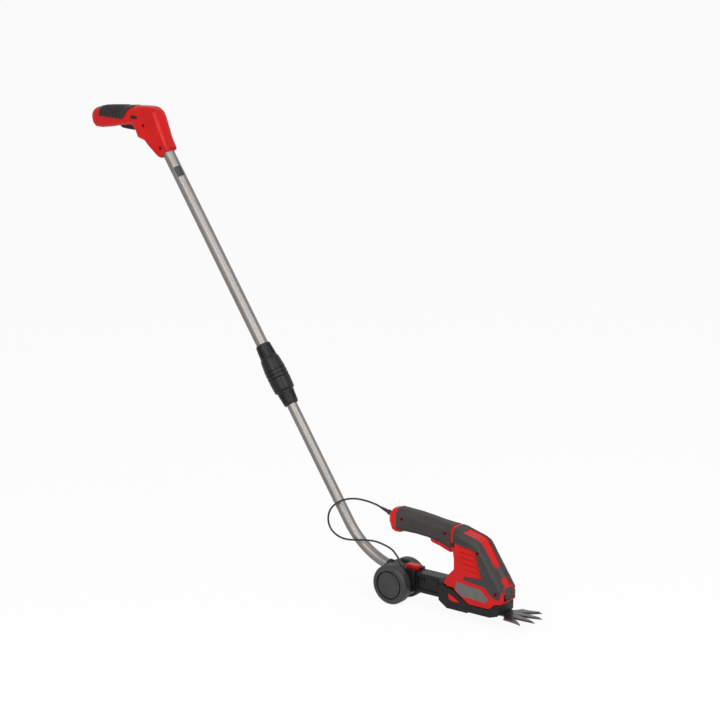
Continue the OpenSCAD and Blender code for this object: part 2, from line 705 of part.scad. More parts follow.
// Hollows, bores and pockets of the trolley
module trolley_rooms() {
    in_hw = hub_w / 2 - trolley_wall;
    lift() {
        cross_pin([0, 0], axle_d / 2 + run_fit, -far, far);
        box([8, -in_hw, hub_bottom + trolley_wall], [hub_front - 12, in_hw, release_seat - trolley_wall]);
        box([release_x[0], -in_hw, release_seat], [hub_front - 2, in_hw, hub_top - trolley_wall]);
        box([release_x[0] - slide_fit, -release_hw - slide_fit, hub_top - trolley_wall - 1],
            [hub_front + 1, release_hw + slide_fit, far]);
        for (side = [-1, 1]) difference() {
            box([hub_front + 4, side > 0 ? arm_w / 2 - 2.5 : -far, arm_bottom + 6],
                [shoe_x - 5, side > 0 ? far : -arm_w / 2 + 2.5, arm_top - 6]);
            box([hub_front + 19, -arm_w / 2 + 1, arm_top - 18], [shoe_x - 10, arm_w / 2 - 1, arm_top - 7]);
            for (x = [hub_front + 9, hub_front + 14])
                box([x, -arm_w / 2 + 1, arm_top - 16], [x + 2.5, arm_w / 2 - 1, arm_top - 8]);
        }
        difference() {
            box([hub_front + 3, -arm_w / 2 + 2.5 + trolley_wall, arm_bottom + trolley_wall],
                [shoe_x - 1, arm_w / 2 - 2.5 - trolley_wall, arm_top - trolley_wall]);
            for (at = trolley_screw_at) cross_pin(at, screw_head_r + 2, -far, far);
        }
        for (at = trolley_screw_at) {
            cross_pin(at, screw_r + run_fit, -far, arm_w / 2 - 3);
            cross_pin(at, screw_head_r + slide_fit, -far, -arm_w / 2 + 5.2);
        }
    }
    on_shears() {
        box([tongue_x - 0.6, -cheek_in, 0], [far, cheek_in, far]);
        slab(-far, far) wedge_outline(0.6);
    }
    translate(gland_at) rotate([0, atan2(gland_dir[0], gland_dir[2]), 0]) cylinder(r = gland_r + run_fit, h = far);
    in_bend() rotate_extrude(angle = pole_angle + 0.2, $fn = 96) translate([bend_r, 0])
        circle(r = lower_r + run_fit);
}

module trolley_left() trolley_half(1);
module trolley_right() trolley_half(-1);

module trolley_screws() color(steel) lift()
    for (at = trolley_screw_at) cross_screw(at, -arm_w / 2 + 3, arm_w / 2 - 3);

module release_button() color(red) lift() {
    box([release_x[0] + 0.4, -release_hw, hub_top - trolley_wall - 1], [release_x[1] - 1.8, release_hw, release_top]);
    box([release_x[0], -release_hw, hub_top - trolley_wall - 1 + release_travel + face_gap],
        [release_x[1], release_hw, release_top]);
    box([release_x[0] + 0.4, -release_hw - 2, hub_top - trolley_wall - release_skirt],
        [release_x[1] - 1.8, release_hw + 2, hub_top - trolley_wall - face_gap]);
}

module release_spring() color(steel) lift() translate([release_mid, 0, release_seat])
    coil(3.6, spring_wire / 2, release_spring_len, 6);

// Tapered strain relief where the cable leaves the hub
gland_r = 3.4;
module cable_gland() color(black) translate(gland_at)
    rotate([0, atan2(gland_dir[0], gland_dir[2]), 0]) difference() {
        union() {
            cylinder(r = gland_r, h = 5);
            translate([0, 0, 3]) cylinder(r1 = gland_r - 0.2, r2 = cable_d / 2 + 0.9, h = gland_len - 3);
        }
        translate([0, 0, -1]) cylinder(r = cable_d / 2 + run_fit, h = gland_len + 2);
    }

module link_cable() color(black) tube_along(smooth(cable_route, 4), cable_d / 2, 8, [0, 1, 0]);

// Moulded plug in the rear of the grip
module link_plug() color(black) on_shears() translate([plug_face[0], 0, plug_face[1]])
    rotate([0, 90 + plug_tilt, 0]) turned([[0, -plug_len], [cable_d / 2 + 0.4, -plug_len],
        [plug_r - 1, -9], [plug_r, -8], [plug_r, 0], [plug_pin_r, 0], [plug_pin_r, plug_pin_len], [0, plug_pin_len]]);

// The two casing halves meet on the middle plane, with cross walls and screw bosses inside
module casing_half(side) color(red) on_shears() difference() {
    $fn = small_fn;
    union() {
        one_side(side) difference() {
            union() {
                skin(casing, 0);
                hull() heel_form(0);
            }
            skin(casing, -casing_wall);
            hull() heel_form(-casing_wall);
        }
        one_side(side) intersection() {
            skin(casing, -casing_wall + 0.7);
            union() {
                for (x = rib_at) box([x, -far, -far], [x + rib_w, far, far]);
                for (at = casing_screw_at) cross_pin(at, screw_r + boss_wall, -far, far);
                box([trigger_pivot[0] - 4, -far, trigger_pivot[1] - 4],
                    [trigger_pivot[0] + 4, far, trigger_pivot[1] + 4]);
                translate([trigger_spring[0] - 5, -far, trigger_spring[1] + trigger_spring[3] + face_gap])
                    cube([10, 2 * far, 2]);
            }
        }
    }
    casing_guts();
}

// Rounded lower rear corner of the body
module heel_form(g) for (p = heel, side = [-1, 1])
    translate([p[0] < 0 ? p[0] - g + 2 : p[0], side * (body_hw - 3.5 + g), p[1] + (p[1] < 40 ? 2 - g : g)])
        sphere(r = 2, $fn = 16);

// Room for what the casing holds
module casing_guts() {
    translate([battery_x - seat_gap, 0, battery_z]) rotate([0, 90, 0])
        cylinder(r = battery_d / 2 + face_gap, h = battery_len + 2 * seat_gap, $fn = 48);
    translate([trigger_spring[0], 0, trigger_spring[1]])
        cylinder(r = trigger_spring[2] / 2 + 1.5, h = trigger_spring[3]);
    translate([board_x - seat_gap, -board_size[1] / 2 - seat_gap, board_z - face_gap])
        cube(board_size + [2 * seat_gap, 2 * seat_gap, 3]);
    translate([switch_x, 0, switch_z]) switch_room();
    box([-46.5, -trigger_hw - slide_fit, 80], [3.4, trigger_hw + slide_fit, grip_z + 4]);
    cross_pin(trigger_pivot, trigger_pin_r + run_fit, -trigger_pin_hw, trigger_pin_hw);
    cross_pin(lock_at, lock_r + slide_fit, -far, -4);
    translate([motor_x, 0, plate_z]) cylinder(r = motor_d / 2 + face_gap, h = motor_len + plate_t + 4, $fn = 48);
    box([motor_x - 16, -plate_hw - 0.3, plate_z - face_gap], [gear_x + 12, plate_hw + 0.3, motor_z + face_gap]);
    box([back_x - 1.2, -body_hw + casing_wall + 0.7, 0], [nose_x - 8.3, body_hw - casing_wall - 0.7, 30.3]);
    translate([gear_x, 0, gear_z - 1]) cylinder(r = gear_module * gear_teeth / 2 + 2, h = gear_face + 2);
    translate([motor_x, 0, gear_z - 3]) cylinder(r = gear_module * pinion_teeth / 2 + 2, h = gear_face + 6);
    for (at = casing_screw_at) {
        cross_pin(at, screw_r + 0.1, -far, grip_hw - casing_wall - 3);
        cross_pin(at, screw_head_r + 0.4, -far, -grip_hw + 6);
    }
}

module casing_left() casing_half(1);
module casing_right() casing_half(-1);

// Soft pad moulded round each half of the grip
pad_stations = [for (i = [2 : 7]) casing[i]];
module grip_pad(side) color(dark_grey) on_shears() one_side(side) difference() {
    skin(pad_stations, grip_pad_t);
    skin(casing, 0.05);
    box([-46.5, -trigger_hw - 1.2, 60], [20, trigger_hw + 1.2, grip_z]);
    cross_pin(lock_at, lock_r + 1, -far, -4);
    for (at = casing_screw_at) cross_pin(at, screw_head_r + 0.5, -far, 0);
}

module grip_pad_left() grip_pad(1);
module grip_pad_right() grip_pad(-1);

// Soft pad over the top and front corner of each flat side, with two raised ridges.
// The red strip down the front stays bare between the two pads.
strip_hw = 13.2;
strip_low_hw = 9.2;
strip_x = 24;
nose_hw = 15.2;
nose_top = 53;
side_edge = [[9.6, far], [far, far], [far, 47], [108, 47], [104, 34], [97, 34.5], [88, 40], [77, 51],
    [34, 55.5], [35.6, 60.8], [70.6, 62.8], [55.6, grip_top - 39.2], [20, grip_top - 35], [9.6, grip_top - 34]];
ridge_edge = [[13, grip_top - 27], [30, grip_top - 29], [47, grip_top - 33], [55.5, grip_top - 38],
    [60.5, grip_top - 46.5], [57.5, grip_top - 46.5], [55.2, grip_top - 39.7], [20, grip_top - 35.2],
    [12, grip_top - 34.2]];
corner_edge = [[59, grip_top - 34.5], [67.5, grip_top - 46.5], [84, grip_top - 71], [101, grip_top - 96],
    [103.5, 47], [125, 47], [125, far], [59, far]];
side_run = [for (i = [8 : len(casing) - 1]) casing[i]];
module side_pad(side) color(dark_grey) on_shears() difference() {
    intersection() {
        union() {
            intersection() {
                skin(side_run, side_pad_t);
                slab(-far, far) polygon(side_edge);
            }
            intersection() {
                skin(side_run, side_pad_t + 0.7);
                slab(-far, far) {
                    polygon(ridge_edge);
                    polygon(corner_edge);
                }
            }
        }
        mirror([0, side > 0 ? 0 : 1, 0]) {
            translate([0, 0, nose_top]) linear_extrude(far) polygon([[0, strip_hw], [45, strip_hw],
                [82, strip_low_hw], [far, strip_low_hw], [far, far], [0, far]]);
            box([0, nose_hw + seat_gap, 0], [far, far, nose_top + 1]);
            box([0, 0, 100], [strip_x, strip_hw + 1, far]);
        }
    }
    skin(casing, 0.05);
    for (at = casing_screw_at) cross_pin(at, screw_head_r + 0.5, -far, far);
}

module side_pad_left() side_pad(1);
module side_pad_right() side_pad(-1);

// Louvred vent in each flat side
vent_edge = [[24, grip_top - 36.2], [54.6, grip_top - 40], [69.2, 63.6], [36.2, 61.6]];
module vent(side) color(red) on_shears() mirror([0, side > 0 ? 0 : 1, 0]) {
    slab(body_hw + 0.05, body_hw + 0.4) polygon(vent_edge);
    for (i = [0 : 4]) slab(body_hw + 0.3, body_hw + side_pad_t + 0.6) {
        z = grip_top - 38.5 - 9.6 * i;
        x = 26 + 2.2 * i;
        polygon([[x, z], [x + 27 + 0.9 * i, z - 3], [x + 29 + 0.9 * i, z - 8.4], [x + 1.4, z - 5.4]]);
    }
}

module vent_left() vent(1);
module vent_right() vent(-1);

// Red end cap with a lip under the rear of the grip
module rear_cap() color(red) on_shears() difference() {
    union() {
        hull() {
            translate([-seam - 0.05, 0, 0]) section(casing[0], 0);
            translate([-2.6, 0, 0]) section(casing[0], -1.5);
            translate([-4, 0, 0]) section(casing[0], -5);
        }
        difference() {
            skin([[cap_x - 2.5, grip_z + 0.5, grip_z + 9, 8, 4], [cap_x + 2, grip_z - 4.5, grip_z + 8, 11, 6],
                [cap_x + 9, grip_z - 6.5, grip_z + 6, 12, 6], [cap_x + 17, grip_z - 6, grip_z + 6, 12, 6],
                [cap_x + 24, grip_z - 3.2, grip_z + 6, 11, 4]], 0);
            skin(casing, 0.05);
            skin(pad_stations, grip_pad_t + 0.05);
        }
    }
    translate([plug_face[0], 0, plug_face[1]]) rotate([0, 90 + plug_tilt, 0])
        translate([0, 0, -1]) cylinder(r = socket_r + run_fit, h = 30);
}

// Socket for the cable's plug, behind the cap
socket_r = 4.4;
module socket() color(black) on_shears() translate([plug_face[0], 0, plug_face[1]])
    rotate([0, 90 + plug_tilt, 0]) difference() {
        translate([0, 0, face_gap]) cylinder(r = socket_r, h = plug_pin_len + 3);
        translate([0, 0, -1]) cylinder(r = plug_pin_r + run_fit, h = plug_pin_len + 1.2);
    }

// Sloping front of the body: a dark window, and the soft nose below it
module on_slope() translate([86, 0, grip_top - 67.5]) rotate([0, atan2(17.7, 12), 0]) children();

module window() color(black) on_shears() on_slope() translate([3.5, 0, seam + face_gap]) hull() for (x = [0, 16], y = [-1, 1])
    translate([x, y * (strip_low_hw - 3.6), 0]) cylinder(r = 2, h = 0.8, $fn = 24);

module nose_pad() color(dark_grey) on_shears() difference() {
    skin([[104.5, 33, nose_top, nose_hw, 6], [109, 32, nose_top - 2.6, nose_hw, 6],
        [nose_x + 2.6, 33.6, nose_top - 8.5, nose_hw - 2, 4]], 0);
    skin(casing, 0.05);
}

module trigger() color(red) on_shears() difference() {
    union() {
        slab(-trigger_hw, trigger_hw) polygon([[-45, grip_z - 8.5], [-41, grip_z - 10.8], [-25, grip_z - 14.6],
            [-9, grip_z - 20.2], [-3, grip_z - 21.5], [2.4, grip_z - 18], [2.4, grip_z - 9], [-12, grip_z - 7.5], [-15, grip_z - 4.6], [-33, grip_z - 4.6],
            [-34.5, grip_z - 3], [-45, grip_z - 3]]);
        cross_pin(trigger_pivot, 4, -trigger_hw, trigger_hw);
    }
    cross_pin(trigger_pivot, trigger_pin_r + run_fit, -far, far);
}

module trigger_pin() color(steel) on_shears()
    cross_pin(trigger_pivot, trigger_pin_r, -trigger_pin_hw + 0.2, trigger_pin_hw - 0.2);

module trigger_spring() color(steel) on_shears() translate([trigger_spring[0], 0, trigger_spring[1]])
    coil(trigger_spring[2] / 2 + 0.4, spring_wire / 2, trigger_spring[3], 5);

module lock_button() color(black) on_shears() {
    cross_pin(lock_at, lock_r, -body_hw + 0.8, -8);
    cross_pin(lock_at, lock_r - 1, -8.1, -6);
}

module switch() color(dark_grey) on_shears() translate([switch_x, 0, switch_z]) micro_switch();

module battery() color([0.20, 0.42, 0.35]) on_shears() translate([battery_x, 0, battery_z])
    rotate([0, 90, 0]) {
        cylinder(r = battery_d / 2, h = battery_len - 1);
        cylinder(r = battery_d / 4, h = battery_len);
    }

module circuit_board() color([0.10, 0.35, 0.16]) on_shears() {
    translate([board_x, -board_size[1] / 2, board_z]) cube(board_size);
    for (i = [0 : 2]) translate([board_x + 3 + 7 * i, -6 + 4 * i, board_z + board_size[2] - 0.1]) cube([5, 4, 2.4]);
}

module motor() color(steel) on_shears() translate([motor_x, 0, motor_z]) difference() {
    union() {
        cylinder(r = motor_d / 2, h = motor_len);
        translate([0, 0, motor_len - 0.1]) cylinder(r = motor_d / 5, h = 2.1);
    }
    translate([0, 0, -1]) cylinder(r = motor_shaft_r + run_fit, h = 12);
}

motor_shaft_r = 1.15;
module motor_pinion() color([0.72, 0.58, 0.25]) on_shears() translate([motor_x, 0, 0]) {
    translate([0, 0, gear_z - 1]) linear_extrude(gear_face + 2) polygon(gear_outline(gear_module, pinion_teeth, 0));
    translate([0, 0, gear_z]) cylinder(r = motor_shaft_r, h = motor_z - gear_z + 10);
}

plate_hw = body_hw - casing_wall - 0.6;
module gear_plate() color(steel) on_shears() difference() {
    box([motor_x - 15, -plate_hw, plate_z], [gear_x + 11, plate_hw, motor_z]);
    translate([motor_x, 0, plate_z - 1]) cylinder(r = motor_shaft_r + 2, h = 10);
    translate([gear_x, 0, plate_z - 1]) cylinder(r = crank_r + run_fit, h = 10);
}

// Drive gear on its shaft, with the eccentric pin below
module drive_gear() color([0.85, 0.83, 0.76]) on_shears() translate([gear_x, 0, 0]) {
    translate([0, 0, gear_z]) linear_extrude(gear_face)
        polygon(gear_outline(gear_module, gear_teeth, 180 / gear_teeth));
    translate([0, 0, pocket_z + 0.4]) cylinder(r = gear_shaft_r, h = gear_z - pocket_z);
    translate([0, 0, gear_z]) cylinder(r = crank_r, h = plate_z + plate_t - gear_z);
    translate([crank_throw, 0, upper_blade_z - 0.1]) cylinder(r = crank_r, h = pocket_z - upper_blade_z + 0.8);
}

// Black lower body: a tongue in the shoe, skirts beside the blades, and a bearing for the gear
base_edge = [[base_x, 0], [87, 0], [102, 5], [base_front, 8], [base_front, 24.2], [98.2, 23.6], [86.4, 13.2],
    [45, 12.9], [base_x, 14]];
tongue_edge = [[tongue_x, 0.2], [base_x + 1, 0.2], [base_x + 1, 12.6], [12, 32.4], [tongue_x, 32.4]];
module base() color(black) on_shears() difference() {
    union() {
        slab(-base_hw, base_hw) polygon(base_edge);
        slab(-tongue_hw, tongue_hw) polygon(tongue_edge);
        box([base_x, -tongue_hw, 4], [100, tongue_hw, 24]);
        translate([gear_x, 0, pocket_z]) cylinder(r = gear_shaft_r + 4, h = gear_z - pocket_z - 1);
        translate([pivot_x, 0, pocket_z]) cylinder(r = blade_pin_r + 4, h = 12);
    }
    difference() {
        box([tongue_x + 2.5, -tongue_hw + 2.5, pocket_z + 3], [97.5, tongue_hw - 2.5, far]);
        translate([gear_x, 0, 0]) cylinder(r = gear_shaft_r + 4, h = far);
        translate([pivot_x, 0, 0]) cylinder(r = blade_pin_r + 4, h = far);
    }
    box([gear_x - 16, -base_hw + 2.5, -1], [far, base_hw - 2.5, pocket_z]);
    translate([gear_x, 0, -1]) cylinder(r = gear_shaft_r + run_fit, h = far);
    translate([pivot_x, 0, -1]) cylinder(r = blade_pin_r + run_fit, h = pocket_z + 9);
}

plate_x = gear_x - 16 + 0.2;
module base_plate() color(black) on_shears() difference() {
    intersection() {
        box([plate_x, -base_hw + 2.7, 0], [base_front - 1, base_hw - 2.7, floor_t]);
        slab(-far, far) polygon(base_edge);
    }
    translate([pivot_x, 0, -1]) cylinder(r = blade_pin_r + run_fit, h = far);
}

// Outline of a blade seen from above, with curved tapering teeth
function tooth(i, reach, g) =
    let (y = (i - 1.5) * tooth_pitch, inner = abs(i - 1.5) < 1,
         tip = reach - (inner ? 0 : 14), root_y = y * 0.62, root_x = 26)
    [for (k = [0 : 5]) let (t = k / 5, s = t * t)
        [root_x + (tip - root_x) * t, root_y + (y - root_y) * s - (7.4 - g) * (1 - s) - 0.7],
     for (k = [5 : -1 : 0]) let (t = k / 5, s = t * t)
        [root_x + (tip - root_x) * t, root_y + (y - root_y) * s + (7.4 - g) * (1 - s) + 0.7]];

module blade_teeth(reach, g) {
    for (i = [0 : 3]) polygon(tooth(i, reach, g));
    polygon([[-8, 2 - blade_hw], [18, -blade_hw], [28, -28], [28, 28], [18, blade_hw], [-8, blade_hw - 2]]);
}

module lower_blade() color(steel) on_shears() translate([pivot_x, 0, lower_blade_z]) difference() {
    linear_extrude(blade_t) blade_teeth(tooth_reach, 0);
    translate([0, 0, -1]) cylinder(r = blade_pin_r + run_fit, h = blade_t + 2);
}

module upper_blade() color(steel) on_shears() translate([pivot_x, 0, upper_blade_z]) difference() {
    linear_extrude(blade_t) {
        blade_teeth(tooth_reach - 4, 1);
        translate([-28, -tail_hw]) square([32, 2 * tail_hw]);
    }
    translate([0, 0, -1]) cylinder(r = blade_pin_r + run_fit, h = blade_t + 2);
    translate([gear_x - pivot_x - 20, -fork_hw, -1]) cube([20 + crank_throw + crank_r + 1.6, 2 * fork_hw, blade_t + 2]);
}

fork_hw = 2 * crank_throw + crank_r + 0.9;
module blade_pin() color(steel) on_shears() translate([pivot_x, 0, 0.4])
    cylinder(r = blade_pin_r, h = pocket_z + 7);

module blade_button(side) color(red) on_shears() mirror([0, side > 0 ? 0 : 1, 0]) {
    slab(cheek_in - 0.8, body_hw + 0.9) wedge_outline(0);
    slab(cheek_in - 1.2, cheek_in - face_gap) wedge_outline(1.4);
}

module blade_button_left() blade_button(1);
module blade_button_right() blade_button(-1);

module casing_screws() color(steel) on_shears()
    for (at = casing_screw_at) cross_screw(at, -grip_hw + 3.6, grip_hw - casing_wall - 3.5);

lower_tube();
upper_tube();
clamp_body();
clamp_nut();
clamp_collet();
pole_lead();
handle_left();
handle_right();
handle_pad();
handle_trigger();
handle_trigger_pin();
handle_trigger_spring();
handle_lock();
handle_switch();
handle_screws();
trolley_left();
trolley_right();
axle();
axle_clips();
wheel_left();
wheel_right();
wheel_cap_left();
wheel_cap_right();
release_button();
release_spring();
cable_gland();
link_cable();
link_plug();
trolley_screws();
casing_left();
casing_right();
grip_pad_left();
grip_pad_right();
side_pad_left();
side_pad_right();
vent_left();
vent_right();
rear_cap();
socket();
window();
nose_pad();
trigger();
trigger_pin();
trigger_spring();
lock_button();
switch();
battery();
circuit_board();
motor();
motor_pinion();
gear_plate();
drive_gear();
base();
base_plate();
lower_blade();
upper_blade();
blade_pin();
blade_button_left();
blade_button_right();
casing_screws();
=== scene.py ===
import json
import math

import bpy
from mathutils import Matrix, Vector

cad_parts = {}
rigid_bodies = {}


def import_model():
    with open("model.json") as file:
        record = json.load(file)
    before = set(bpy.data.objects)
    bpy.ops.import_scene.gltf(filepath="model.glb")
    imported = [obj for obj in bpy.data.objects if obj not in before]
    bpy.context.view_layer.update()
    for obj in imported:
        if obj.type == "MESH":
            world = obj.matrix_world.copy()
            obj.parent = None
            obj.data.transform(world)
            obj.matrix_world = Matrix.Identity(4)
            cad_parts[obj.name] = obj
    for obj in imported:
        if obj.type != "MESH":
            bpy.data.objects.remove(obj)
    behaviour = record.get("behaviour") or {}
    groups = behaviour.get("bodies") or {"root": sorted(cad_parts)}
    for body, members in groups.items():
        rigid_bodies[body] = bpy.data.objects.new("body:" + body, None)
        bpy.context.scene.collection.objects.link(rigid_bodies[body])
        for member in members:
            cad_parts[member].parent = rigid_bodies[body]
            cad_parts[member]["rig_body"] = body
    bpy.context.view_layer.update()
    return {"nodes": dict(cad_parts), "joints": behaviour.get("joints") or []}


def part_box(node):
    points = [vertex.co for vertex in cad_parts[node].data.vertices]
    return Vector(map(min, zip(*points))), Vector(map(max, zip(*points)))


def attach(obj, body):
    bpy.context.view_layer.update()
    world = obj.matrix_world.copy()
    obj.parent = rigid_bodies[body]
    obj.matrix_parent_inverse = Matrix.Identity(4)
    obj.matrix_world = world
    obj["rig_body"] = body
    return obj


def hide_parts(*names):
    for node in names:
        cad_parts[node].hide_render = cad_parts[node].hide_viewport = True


mm = 0.001
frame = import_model()
scene = bpy.context.scene
nodes = frame["nodes"]
joints = {joint["name"]: joint for joint in frame["joints"]}
print("frame: %d nodes, %d joints" % (len(nodes), len(joints)))

# camera at the photograph's place
cameraView = {
    "lens": 91.65,
    "sensor": 36.0,
    "place": (1.7645, -2.4507, 1.0993),
    "turn": (77.43, 0.0, 37.07),
}
bpy.ops.object.select_all(action="DESELECT")
bpy.ops.object.camera_add(
    location=cameraView["place"], rotation=[math.radians(turn) for turn in cameraView["turn"]]
)
scene.camera = bpy.context.object
scene.camera.data.sensor_width = cameraView["sensor"]
scene.camera.data.lens = cameraView["lens"]
print("camera: lens %.1f mm" % cameraView["lens"])


def hexColour(code):
    channels = [int(code[i : i + 2], 16) / 255 for i in (1, 3, 5)]
    linear = [c / 12.92 if c <= 0.04045 else ((c + 0.055) / 1.055) ** 2.4 for c in channels]
    return (*linear, 1.0)


def addNode(tree, kind, sockets=None, **settings):
    node = tree.nodes.new(kind)
    for name, value in settings.items():
        setattr(node, name, value)
    for socket, value in (sockets or {}).items():
        if isinstance(value, bpy.types.NodeSocket):
            tree.links.new(value, node.inputs[socket])
        else:
            node.inputs[socket].default_value = value
    return node


# the middle part of each noise is spread over the whole range of colour or roughness
noiseSpan = {"tone": (0.32, 0.68), "wear": (0.12, 0.4)}


# one moulded, drawn or ground surface: two close colours, a roughness range and a fine relief
def surfaceMaterial(name, look):
    material = bpy.data.materials.new(name)
    material.use_nodes = True
    tree = material.node_tree
    tree.nodes.clear()
    place = addNode(tree, "ShaderNodeTexCoord").outputs["Object"]
    turned = addNode(
        tree,
        "ShaderNodeMapping",
        {
            "Vector": place,
            "Rotation": [math.radians(a) for a in look.get("turn", (0, 0, 0))],
            "Scale": look.get("stretch", (1, 1, 1)),
        },
    ).outputs["Vector"]
    grain = addNode(
        tree,
        "ShaderNodeTexNoise",
        {"Vector": turned, "Scale": 1 / (look["grain"] * mm), "Detail": 3.0, "Roughness": 0.6},
    ).outputs["Fac"]
    cloud = addNode(
        tree,
        "ShaderNodeTexNoise",
        {"Vector": place, "Scale": 1 / (look["cloud"] * mm), "Detail": 4.0, "Roughness": 0.55},
    ).outputs["Fac"]
    tone = addNode(
        tree,
        "ShaderNodeMapRange",
        {"Value": cloud, "From Min": noiseSpan["tone"][0], "From Max": noiseSpan["tone"][1]},
    ).outputs["Result"]
    colour = addNode(
        tree,
        "ShaderNodeMix",
        {0: tone, 6: hexColour(look["dark"]), 7: hexColour(look["light"])},
        data_type="RGBA",
    ).outputs[2]
    worn = addNode(
        tree, "ShaderNodeMath", {0: cloud, 1: grain}, operation="MULTIPLY"
    ).outputs["Value"]
    rough = addNode(
        tree,
        "ShaderNodeMapRange",
        {
            "Value": worn,
            "From Min": noiseSpan["wear"][0],
            "From Max": noiseSpan["wear"][1],
            "To Min": look["rough"][0],
            "To Max": look["rough"][1],
        },
    ).outputs["Result"]
    relief = addNode(
        tree,
        "ShaderNodeBump",
        {"Height": grain, "Strength": look["relief"], "Distance": look["depth"] * mm},
    ).outputs["Normal"]
    shader = addNode(
        tree,
        "ShaderNodeBsdfPrincipled",
        {
            "Base Color": colour,
            "Roughness": rough,
            "Normal": relief,
            "Metallic": look.get("metal", 0.0),
        },
    )
    for socket, value in look.get("sockets", {}).items():
        shader.inputs[socket].default_value = value
    addNode(tree, "ShaderNodeOutputMaterial", {"Surface": shader.outputs["BSDF"]})
    return material


# ABS, moulded in a satin tool: strong red with soft highlights and a grain just felt by the finger
redAbs = surfaceMaterial(
    "moulded_satin_red_abs",
    {
        "dark": "#B20808", "light": "#C60D0B", "grain": 0.7, "cloud": 45, "rough": (0.34, 0.46),
        "relief": 0.12, "depth": 0.05, "sockets": {"IOR": 1.53, "Specular IOR Level": 0.2},
    },
)
# thermoplastic rubber moulded over the casing: dark warm grey, dull, with an even fine grain
softRubber = surfaceMaterial(
    "overmoulded_grey_rubber",
    {
        "dark": "#2B2928", "light": "#373432", "grain": 0.8, "cloud": 30, "rough": (0.5, 0.66),
        "relief": 0.3, "depth": 0.08, "sockets": {"IOR": 1.5, "Specular IOR Level": 0.3},
    },
)
# the same rubber in black for the saddle on the top handle, a little shinier on its ribs
saddleRubber = surfaceMaterial(
    "overmoulded_black_rubber",
    {
        "dark": "#19191A", "light": "#222122", "grain": 0.8, "cloud": 30, "rough": (0.42, 0.56),
        "relief": 0.3, "depth": 0.08, "sockets": {"IOR": 1.5, "Specular IOR Level": 0.3},
    },
)
# glass-filled nylon from a spark-eroded tool: near black with a pebbly sheen on upward faces
blackNylon = surfaceMaterial(
    "grained_black_nylon",
    {
        "dark": "#101011", "light": "#171718", "grain": 0.9, "cloud": 35, "rough": (0.34, 0.48),
        "relief": 0.24, "depth": 0.08, "sockets": {"IOR": 1.53, "Specular IOR Level": 0.2},
    },
)
# polypropylene wheels: dark grey and waxy, a little lighter than the trolley
wheelPlastic = surfaceMaterial(
    "moulded_polypropylene",
    {
        "dark": "#2B2A2A", "light": "#373635", "grain": 1.1, "cloud": 28, "rough": (0.46, 0.6),
        "relief": 0.2, "depth": 0.08, "sockets": {"IOR": 1.49, "Specular IOR Level": 0.35},
    },
)
# grey ABS for the switch bodies and the collet
greyAbs = surfaceMaterial(
    "moulded_grey_abs",
    {
        "dark": "#3A3A3B", "light": "#464647", "grain": 0.7, "cloud": 15, "rough": (0.42, 0.54),
        "relief": 0.14, "depth": 0.05, "sockets": {"IOR": 1.53, "Specular IOR Level": 0.35},
    },
)
# drawn aluminium tube, satin anodised: long faint die lines up the pole, wide soft reflections
poleTilt = math.degrees(math.atan2(-joints["telescope"]["axis"][0], joints["telescope"]["axis"][2]))
satinAluminium = surfaceMaterial(
    "satin_anodised_aluminium",
    {
        "dark": "#7A7673", "light": "#84807D", "grain": 1.4, "cloud": 60, "rough": (0.42, 0.48),
        "relief": 0.02, "depth": 0.02, "metal": 1.0, "turn": (0, poleTilt, 0), "stretch": (1, 1, 0.02),
    },
)
# hardened strip steel, ground across the teeth: grey with short scratches
groundSteel = surfaceMaterial(
    "ground_blade_steel",
    {
        "dark": "#585655", "light": "#686665", "grain": 0.9, "cloud": 20, "rough": (0.28, 0.44),
        "relief": 0.18, "depth": 0.03, "metal": 1.0, "stretch": (0.12, 1, 1),
    },
)
# zinc-plated pins, screws and springs: bright grey with a slight cloud
zincSteel = surfaceMaterial(
    "zinc_plated_steel",
    {
        "dark": "#A6A8AB", "light": "#BABCBE", "grain": 0.6, "cloud": 8, "rough": (0.26, 0.4),
        "relief": 0.1, "depth": 0.03, "metal": 1.0,
    },
)
# blackened self-tapping screws at the bottom of their wells
blackenedSteel = surfaceMaterial(
    "blackened_steel",
    {
        "dark": "#1A1A1B", "light": "#262627", "grain": 0.6, "cloud": 6, "rough": (0.38, 0.5),
        "relief": 0.1, "depth": 0.03, "metal": 0.6,
    },
)
# PVC sheath, extruded: black, slightly shiny, with faint drag lines
pvcSheath = surfaceMaterial(
    "extruded_black_pvc",
    {
        "dark": "#1C1C1D", "light": "#252526", "grain": 0.6, "cloud": 18, "rough": (0.36, 0.48),
        "relief": 0.12, "depth": 0.04, "sockets": {"IOR": 1.53, "Specular IOR Level": 0.35},
    },
)
# acrylic window, polished and tinted: almost black with a clear reflection
tintedAcrylic = surfaceMaterial(
    "polished_tinted_acrylic",
    {
        "dark": "#161617", "light": "#1D1D1F", "grain": 2.0, "cloud": 20, "rough": (0.08, 0.14),
        "relief": 0.02, "depth": 0.02, "sockets": {"IOR": 1.49, "Coat Weight": 0.3, "Coat Roughness": 0.05},
    },
)
# polyester label film: plain dark grey, a little glossy
labelFilm = surfaceMaterial(
    "plain_grey_label_film",
    {
        "dark": "#4E4B49", "light": "#585553", "grain": 1.2, "cloud": 12, "rough": (0.32, 0.42),
        "relief": 0.05, "depth": 0.02, "sockets": {"IOR": 1.58},
    },
)
# machined brass of the motor pinion
turnedBrass = surfaceMaterial(
    "machined_brass",
    {
        "dark": "#B08C3E", "light": "#C29E4C", "grain": 0.5, "cloud": 6, "rough": (0.22, 0.34),
        "relief": 0.1, "depth": 0.02, "metal": 1.0,
    },
)
